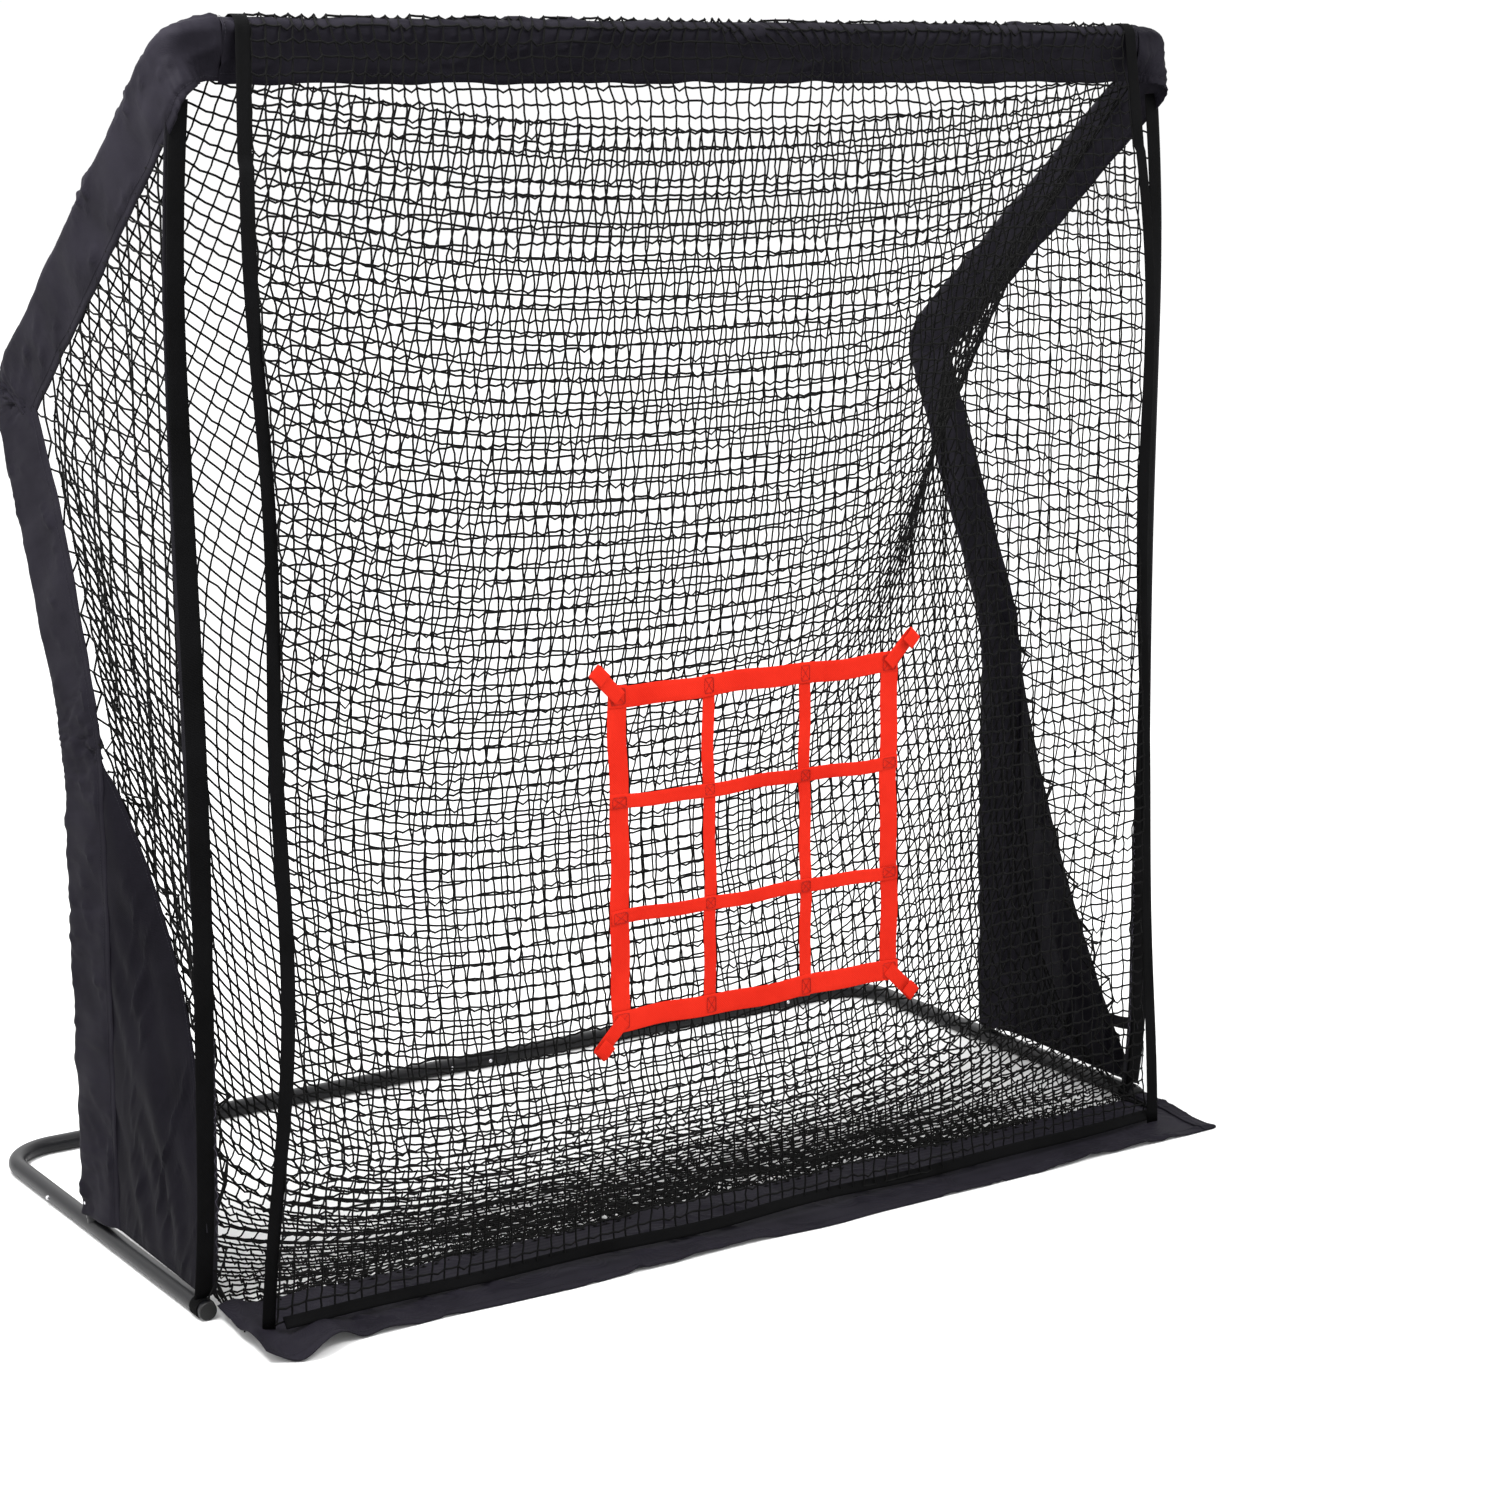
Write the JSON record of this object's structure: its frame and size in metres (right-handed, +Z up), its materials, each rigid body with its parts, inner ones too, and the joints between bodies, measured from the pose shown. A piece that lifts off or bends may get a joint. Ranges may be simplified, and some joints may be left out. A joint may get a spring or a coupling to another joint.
{
  "type": "pitching target net",
  "caption": "Free-standing tubular frame with side, roof, back and floor nets, a hanging front net and a gridded strike-zone target.",
  "frame": {"origin": "middle of the bounding box at floor level", "axes": "+Z up, +Y towards the back of the goal, the front net and the strike zone face -Y, +X to the thrower's right"},
  "size_m": [2.069, 1.186, 2.1339],
  "materials": {
    "steel": "black powder coat, satin",
    "button": "plated steel",
    "spring_steel": "spring steel",
    "cap": "moulded plastic",
    "cloth": "dark oxford cloth",
    "twine": "black polyester twine",
    "webbing": "black polyester webbing",
    "zone_webbing": "red-orange webbing"
  },
  "bodies": {
    "root": {"arm_tube_left": "steel", "arm_tube_right": "steel", "back_net": "twine", "base_corner_left": "steel", "base_corner_right": "steel", "base_end_caps": "cap", "base_rear_coupler": "steel", "base_rear_tube_left": "steel", "base_rear_tube_right": "steel", "base_side_tube_left": "steel", "base_side_tube_right": "steel", "bent_upright_left": "steel", "bent_upright_right": "steel", "floor_net": "twine", "front_net_wrap": "twine", "front_strap_left": "webbing", "front_strap_right": "webbing", "ground_flap": "cloth", "gusset_left": "cloth", "gusset_right": "cloth", "lower_back_net": "twine", "lower_upright_left": "steel", "lower_upright_right": "steel", "roof_net": "twine", "side_net_left": "twine", "side_net_right": "twine", "side_sleeve_left": "cloth", "side_sleeve_right": "cloth", "snap_springs": "spring_steel", "strap_loops": "webbing", "tie_tabs": "cloth", "top_bar_coupler": "steel", "top_bar_left": "steel", "top_bar_right": "steel", "top_sleeve": "cloth"},
    "curtain": {"front_net": "twine", "front_net_hem": "webbing", "front_net_binding_left": "webbing", "front_net_binding_right": "webbing"},
    "strike_zone": {"target_vertical_webs": "zone_webbing", "target_horizontal_webs": "zone_webbing", "target_corner_tabs": "zone_webbing"},
    "arm_button_left": {"arm_button_left": "button"},
    "arm_button_right": {"arm_button_right": "button"},
    "foot_button_left": {"foot_button_left": "button"},
    "foot_button_right": {"foot_button_right": "button"},
    "rear_corner_button_left": {"rear_corner_button_left": "button"},
    "rear_corner_button_right": {"rear_corner_button_right": "button"},
    "rear_middle_button_left": {"rear_middle_button_left": "button"},
    "rear_middle_button_right": {"rear_middle_button_right": "button"},
    "side_bar_button_left": {"side_bar_button_left": "button"},
    "side_bar_button_right": {"side_bar_button_right": "button"},
    "top_corner_button_left": {"top_corner_button_left": "button"},
    "top_corner_button_right": {"top_corner_button_right": "button"},
    "top_middle_button_left": {"top_middle_button_left": "button"},
    "top_middle_button_right": {"top_middle_button_right": "button"},
    "upright_button_left": {"upright_button_left": "button"},
    "upright_button_right": {"upright_button_right": "button"}
  },
  "joints": [
    {"name": "front_net_swing", "type": "hinge", "parent": "root", "child": "curtain", "pos_m": [0, -0.46, 2.03], "axis": [1, 0, 0], "range_deg": [-45, 8]},
    {"name": "strike_zone_height", "type": "slide", "parent": "curtain", "child": "strike_zone", "axis": [0, 0, 1], "range_m": [-0.25, 0.25]},
    {"name": "arm_button_left_press", "type": "slide", "parent": "root", "child": "arm_button_left", "axis": [1, 0, 0], "range_m": [0, 0.0045], "stiffness_N_per_m": 1500},
    {"name": "arm_button_right_press", "type": "slide", "parent": "root", "child": "arm_button_right", "axis": [-1, 0, 0], "range_m": [0, 0.0045], "stiffness_N_per_m": 1500},
    {"name": "foot_button_left_press", "type": "slide", "parent": "root", "child": "foot_button_left", "axis": [1, 0, 0], "range_m": [0, 0.0045], "stiffness_N_per_m": 1500},
    {"name": "foot_button_right_press", "type": "slide", "parent": "root", "child": "foot_button_right", "axis": [-1, 0, 0], "range_m": [0, 0.0045], "stiffness_N_per_m": 1500},
    {"name": "rear_corner_button_left_press", "type": "slide", "parent": "root", "child": "rear_corner_button_left", "axis": [0, 1, 0], "range_m": [0, 0.0045], "stiffness_N_per_m": 1500},
    {"name": "rear_corner_button_right_press", "type": "slide", "parent": "root", "child": "rear_corner_button_right", "axis": [0, 1, 0], "range_m": [0, 0.0045], "stiffness_N_per_m": 1500},
    {"name": "rear_middle_button_left_press", "type": "slide", "parent": "root", "child": "rear_middle_button_left", "axis": [0, 1, 0], "range_m": [0, 0.0045], "stiffness_N_per_m": 1500},
    {"name": "rear_middle_button_right_press", "type": "slide", "parent": "root", "child": "rear_middle_button_right", "axis": [0, 1, 0], "range_m": [0, 0.0045], "stiffness_N_per_m": 1500},
    {"name": "side_bar_button_left_press", "type": "slide", "parent": "root", "child": "side_bar_button_left", "axis": [1, 0, 0], "range_m": [0, 0.0045], "stiffness_N_per_m": 1500},
    {"name": "side_bar_button_right_press", "type": "slide", "parent": "root", "child": "side_bar_button_right", "axis": [-1, 0, 0], "range_m": [0, 0.0045], "stiffness_N_per_m": 1500},
    {"name": "top_corner_button_left_press", "type": "slide", "parent": "root", "child": "top_corner_button_left", "axis": [0, -1, 0], "range_m": [0, 0.0045], "stiffness_N_per_m": 1500},
    {"name": "top_corner_button_right_press", "type": "slide", "parent": "root", "child": "top_corner_button_right", "axis": [0, -1, 0], "range_m": [0, 0.0045], "stiffness_N_per_m": 1500},
    {"name": "top_middle_button_left_press", "type": "slide", "parent": "root", "child": "top_middle_button_left", "axis": [0, -1, 0], "range_m": [0, 0.0045], "stiffness_N_per_m": 1500},
    {"name": "top_middle_button_right_press", "type": "slide", "parent": "root", "child": "top_middle_button_right", "axis": [0, -1, 0], "range_m": [0, 0.0045], "stiffness_N_per_m": 1500},
    {"name": "upright_button_left_press", "type": "slide", "parent": "root", "child": "upright_button_left", "axis": [1, 0, 0], "range_m": [0, 0.0045], "stiffness_N_per_m": 1500},
    {"name": "upright_button_right_press", "type": "slide", "parent": "root", "child": "upright_button_right", "axis": [-1, 0, 0], "range_m": [0, 0.0045], "stiffness_N_per_m": 1500}
  ]
}
